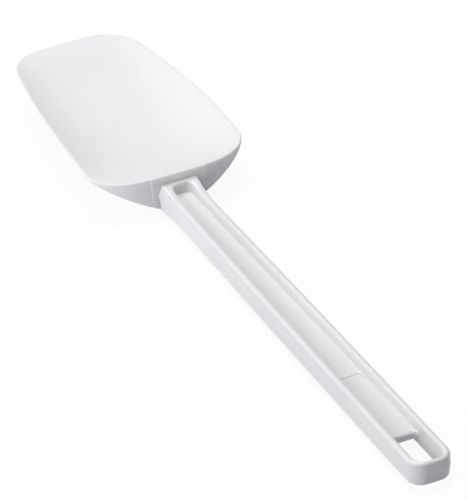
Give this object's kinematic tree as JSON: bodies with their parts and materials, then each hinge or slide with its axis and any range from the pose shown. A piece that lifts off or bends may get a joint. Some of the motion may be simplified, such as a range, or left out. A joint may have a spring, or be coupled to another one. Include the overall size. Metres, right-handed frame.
{
  "type": "spoon spatula",
  "caption": "Long-handled spoon spatula: a soft white scoop blade moulded over the tang of a stiff I-section handle with a hanging hole.",
  "frame": {"origin": "under the middle of the tool's length, on its mirror plane, at the height of the blade's keel", "axes": "+X along the handle from the blade to the hanging end, +Z out of the scoop's open face, +Y across the blade"},
  "size_m": [0.343, 0.0754, 0.0226],
  "materials": {
    "handle_plastic": "satin-gloss white injection moulding",
    "blade_rubber": "matte white flexible moulding with a fine even texture"
  },
  "bodies": {
    "root": {"handle": "handle_plastic", "blade": "blade_rubber"}
  },
  "joints": []
}
